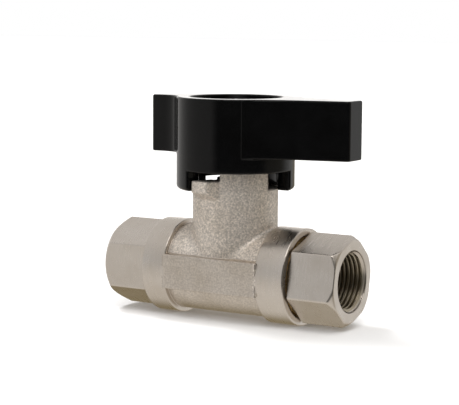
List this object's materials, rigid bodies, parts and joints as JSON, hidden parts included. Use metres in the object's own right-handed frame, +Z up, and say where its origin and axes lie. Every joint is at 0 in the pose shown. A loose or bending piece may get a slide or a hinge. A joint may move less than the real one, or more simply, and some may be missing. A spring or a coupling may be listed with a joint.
{
  "type": "ball valve",
  "caption": "Quarter-turn in-line ball valve with a short lever handle, a two-piece plated brass body and a female thread at each end.",
  "frame": {"origin": "below the stem axis, at the height of the lowest point of the body", "axes": "+X along the pipe towards the screwed end connector, +Z up the stem to the handle, -Y towards the stop lug's side"},
  "size_m": [0.075, 0.0332, 0.0625],
  "materials": {
    "nickel_brass": "nickel-plated forged brass, satin, machined where turned",
    "brass": "machined",
    "chrome": "polished",
    "steel": "zinc plated",
    "ptfe": "waxy",
    "rubber": "matt",
    "black_plastic": "moulded, glossy"
  },
  "bodies": {
    "valve": {"valve_body": "nickel_brass", "end_connector": "nickel_brass", "gland_nut": "nickel_brass", "seat_ring_left": "ptfe", "seat_ring_right": "ptfe", "body_seal_ring": "brass", "thrust_washer": "ptfe", "packing_ring_lower": "ptfe", "packing_ring_upper": "ptfe", "packing_follower": "brass", "spring_washer_lower": "steel", "spring_washer_upper": "steel"},
    "lever": {"handle": "black_plastic", "handle_insert": "brass", "handle_washer": "steel", "handle_screw": "steel", "stem": "brass", "stem_oring_lower": "rubber", "stem_oring_upper": "rubber"},
    "ball": {"ball": "chrome"}
  },
  "joints": [
    {"name": "lever_turn", "type": "hinge", "parent": "valve", "child": "lever", "pos_m": [0, 0, 0.0135], "axis": [0, 0, 1], "range_deg": [-90, 0]},
    {"name": "ball_turn", "type": "hinge", "parent": "valve", "child": "ball", "pos_m": [0, 0, 0.0135], "axis": [0, 0, 1], "range_deg": [-90, 0]}
  ],
  "couplings": [
    {"joint": "ball_turn", "follows": "lever_turn", "ratio": 1}
  ]
}
